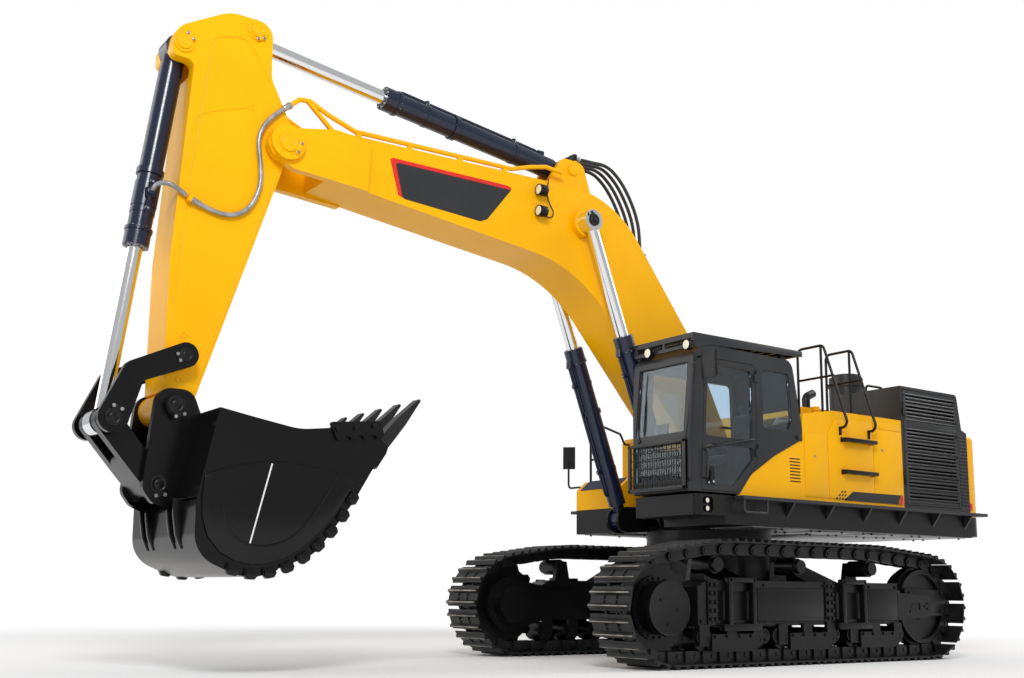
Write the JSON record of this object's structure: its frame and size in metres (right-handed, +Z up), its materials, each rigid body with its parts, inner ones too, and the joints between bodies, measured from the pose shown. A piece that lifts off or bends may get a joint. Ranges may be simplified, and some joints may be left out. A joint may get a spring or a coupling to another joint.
{
  "type": "crawler excavator",
  "caption": "Large tracked excavator with slewing upper structure, gooseneck boom, stick, curled digging bucket, hydraulic cylinders and a guarded operator's cab.",
  "frame": {"origin": "on the ground under the middle of the machine's length and width", "axes": "+X forward to the boom and bucket, +Y to the cab side, +Z up"},
  "size_m": [11.756, 3.84, 6.6199],
  "materials": {
    "track_steel": "worn cast steel",
    "undercarriage_black": "satin black paint",
    "machined_steel": "machined",
    "black_paint": "gloss black paint",
    "yellow_paint": "gloss yellow paint",
    "chrome_rod": "hard chrome",
    "cab_glass": "tinted glass",
    "seat_fabric": "woven",
    "cab_plastic": "grained",
    "engine_iron": "painted casting",
    "tooth_steel": "cast and painted",
    "hose_rubber": "wrapped rubber hose"
  },
  "bodies": {
    "undercarriage": {"car_body": "undercarriage_black", "slew_ring": "machined_steel", "track_frame_l": "undercarriage_black", "track_frame_r": "undercarriage_black", "track_l": "track_steel", "track_r": "track_steel", "sprocket_l": "undercarriage_black", "sprocket_r": "undercarriage_black", "idler_l": "undercarriage_black", "idler_r": "undercarriage_black", "bottom_rollers_l": "undercarriage_black", "bottom_rollers_r": "undercarriage_black", "carrier_rollers_l": "undercarriage_black", "carrier_rollers_r": "undercarriage_black"},
    "house": {"platform": "black_paint", "counterweight": "yellow_paint", "cooling_box": "black_paint", "hood": "yellow_paint", "engine_block": "engine_iron", "side_covers": "yellow_paint", "right_tank": "yellow_paint", "right_cover": "yellow_paint", "step_box": "yellow_paint", "catwalks": "black_paint", "handrails": "black_paint", "air_cleaner": "black_paint", "exhaust": "black_paint", "cab_shell": "black_paint", "cab_glass": "cab_glass", "roof_guard": "black_paint", "front_guard": "black_paint", "operator_seat": "seat_fabric", "console": "cab_plastic", "mirrors": "black_paint"},
    "cooling_door": {"cooling_door": "black_paint"},
    "door": {"cab_door": "black_paint", "cab_door_glass": "cab_glass"},
    "boom": {"boom": "yellow_paint", "boom_pipes": "yellow_paint", "boom_hoses": "hose_rubber", "tip_hose": "hose_rubber"},
    "boom_barrels": {"boom_barrel_l": "black_paint", "boom_barrel_r": "black_paint"},
    "boom_rods": {"boom_rod_l": "chrome_rod", "boom_rod_r": "chrome_rod"},
    "stick": {"stick": "yellow_paint", "stick_hose": "hose_rubber"},
    "stick_barrel": {"stick_barrel": "black_paint"},
    "stick_rod": {"stick_rod": "chrome_rod"},
    "bucket_barrel": {"bucket_barrel": "black_paint"},
    "bucket_rod": {"bucket_rod": "chrome_rod"},
    "rockers": {"rocker_links": "black_paint"},
    "power_link": {"power_link": "black_paint"},
    "bucket": {"bucket": "black_paint", "bucket_teeth": "tooth_steel"}
  },
  "joints": [
    {"name": "slew", "type": "hinge", "parent": "undercarriage", "child": "house", "pos_m": [-2.118, 0, 1.52], "axis": [0, 0, 1], "continuous": true},
    {"name": "cab_door_hinge", "type": "hinge", "parent": "house", "child": "door", "pos_m": [-1.326, 1.646, 2.8], "axis": [0, 0, 1], "range_deg": [0, 150]},
    {"name": "cooling_door_hinge", "type": "hinge", "parent": "house", "child": "cooling_door", "pos_m": [-4.07, 1.643, 2.7], "axis": [0, 0, -1], "range_deg": [0, 120]},
    {"name": "boom_foot", "type": "hinge", "parent": "house", "child": "boom", "pos_m": [-2.068, 0, 2.4], "axis": [0, -1, 0], "range_deg": [-66, 28]},
    {"name": "boom_barrel_swing", "type": "hinge", "parent": "house", "child": "boom_barrels", "pos_m": [-1.054, 0, 1.72], "axis": [0, -1, 0], "range_deg": [-68.5, 29.2]},
    {"name": "boom_rod_slide", "type": "slide", "parent": "boom_barrels", "child": "boom_rods", "axis": [0.3505, 0, 0.9366], "range_m": [-1.228, 0.522]},
    {"name": "stick_pivot", "type": "hinge", "parent": "boom", "child": "stick", "pos_m": [4.162, 0, 5.31], "axis": [0, 1, 0], "range_deg": [-62, 45], "deforming": ["stick_hose"]},
    {"name": "stick_barrel_swing", "type": "hinge", "parent": "boom", "child": "stick_barrel", "pos_m": [0.302, 0, 5.93], "axis": [0, -1, 0], "range_deg": [-3.6, 4.9]},
    {"name": "stick_rod_slide", "type": "slide", "parent": "stick_barrel", "child": "stick_rod", "axis": [0.9911, 0, 0.1328], "range_m": [-1.25, 0.907]},
    {"name": "bucket_pivot", "type": "hinge", "parent": "stick", "child": "bucket", "pos_m": [5.159, 0, 2.494], "axis": [0, -1, 0], "range_deg": [-8, 130]},
    {"name": "rocker_swing", "type": "hinge", "parent": "stick", "child": "rockers", "pos_m": [5.095, 0, 2.977], "axis": [0, -1, 0], "range_deg": [-6.5, 102.9]},
    {"name": "link_swing", "type": "hinge", "parent": "rockers", "child": "power_link", "pos_m": [5.738, 0, 2.324], "axis": [0, -1, 0], "range_deg": [-50.6, 3.3]},
    {"name": "bucket_barrel_swing", "type": "hinge", "parent": "stick", "child": "bucket_barrel", "pos_m": [5.247, 0, 6.15], "axis": [0, -1, 0], "range_deg": [-0.5, 5.6]},
    {"name": "bucket_rod_slide", "type": "slide", "parent": "bucket_barrel", "child": "bucket_rod", "axis": [0.1273, 0, -0.9919], "range_m": [-1.352, 0.085]}
  ],
  "couplings": [
    {"joint": "boom_barrel_swing", "follows": "boom_foot", "ratio": 1.0358},
    {"joint": "boom_rod_slide", "follows": "boom_foot", "m_per_rad": 1.0645},
    {"joint": "stick_barrel_swing", "follows": "stick_pivot", "ratio": -0.077176},
    {"joint": "stick_rod_slide", "follows": "stick_pivot", "m_per_rad": 1.1533},
    {"joint": "rocker_swing", "follows": "bucket_pivot", "ratio": 0.79043},
    {"joint": "link_swing", "follows": "bucket_pivot", "ratio": -0.3877},
    {"joint": "bucket_barrel_swing", "follows": "bucket_pivot", "ratio": 0.042226},
    {"joint": "bucket_rod_slide", "follows": "bucket_pivot", "m_per_rad": -0.5953}
  ]
}
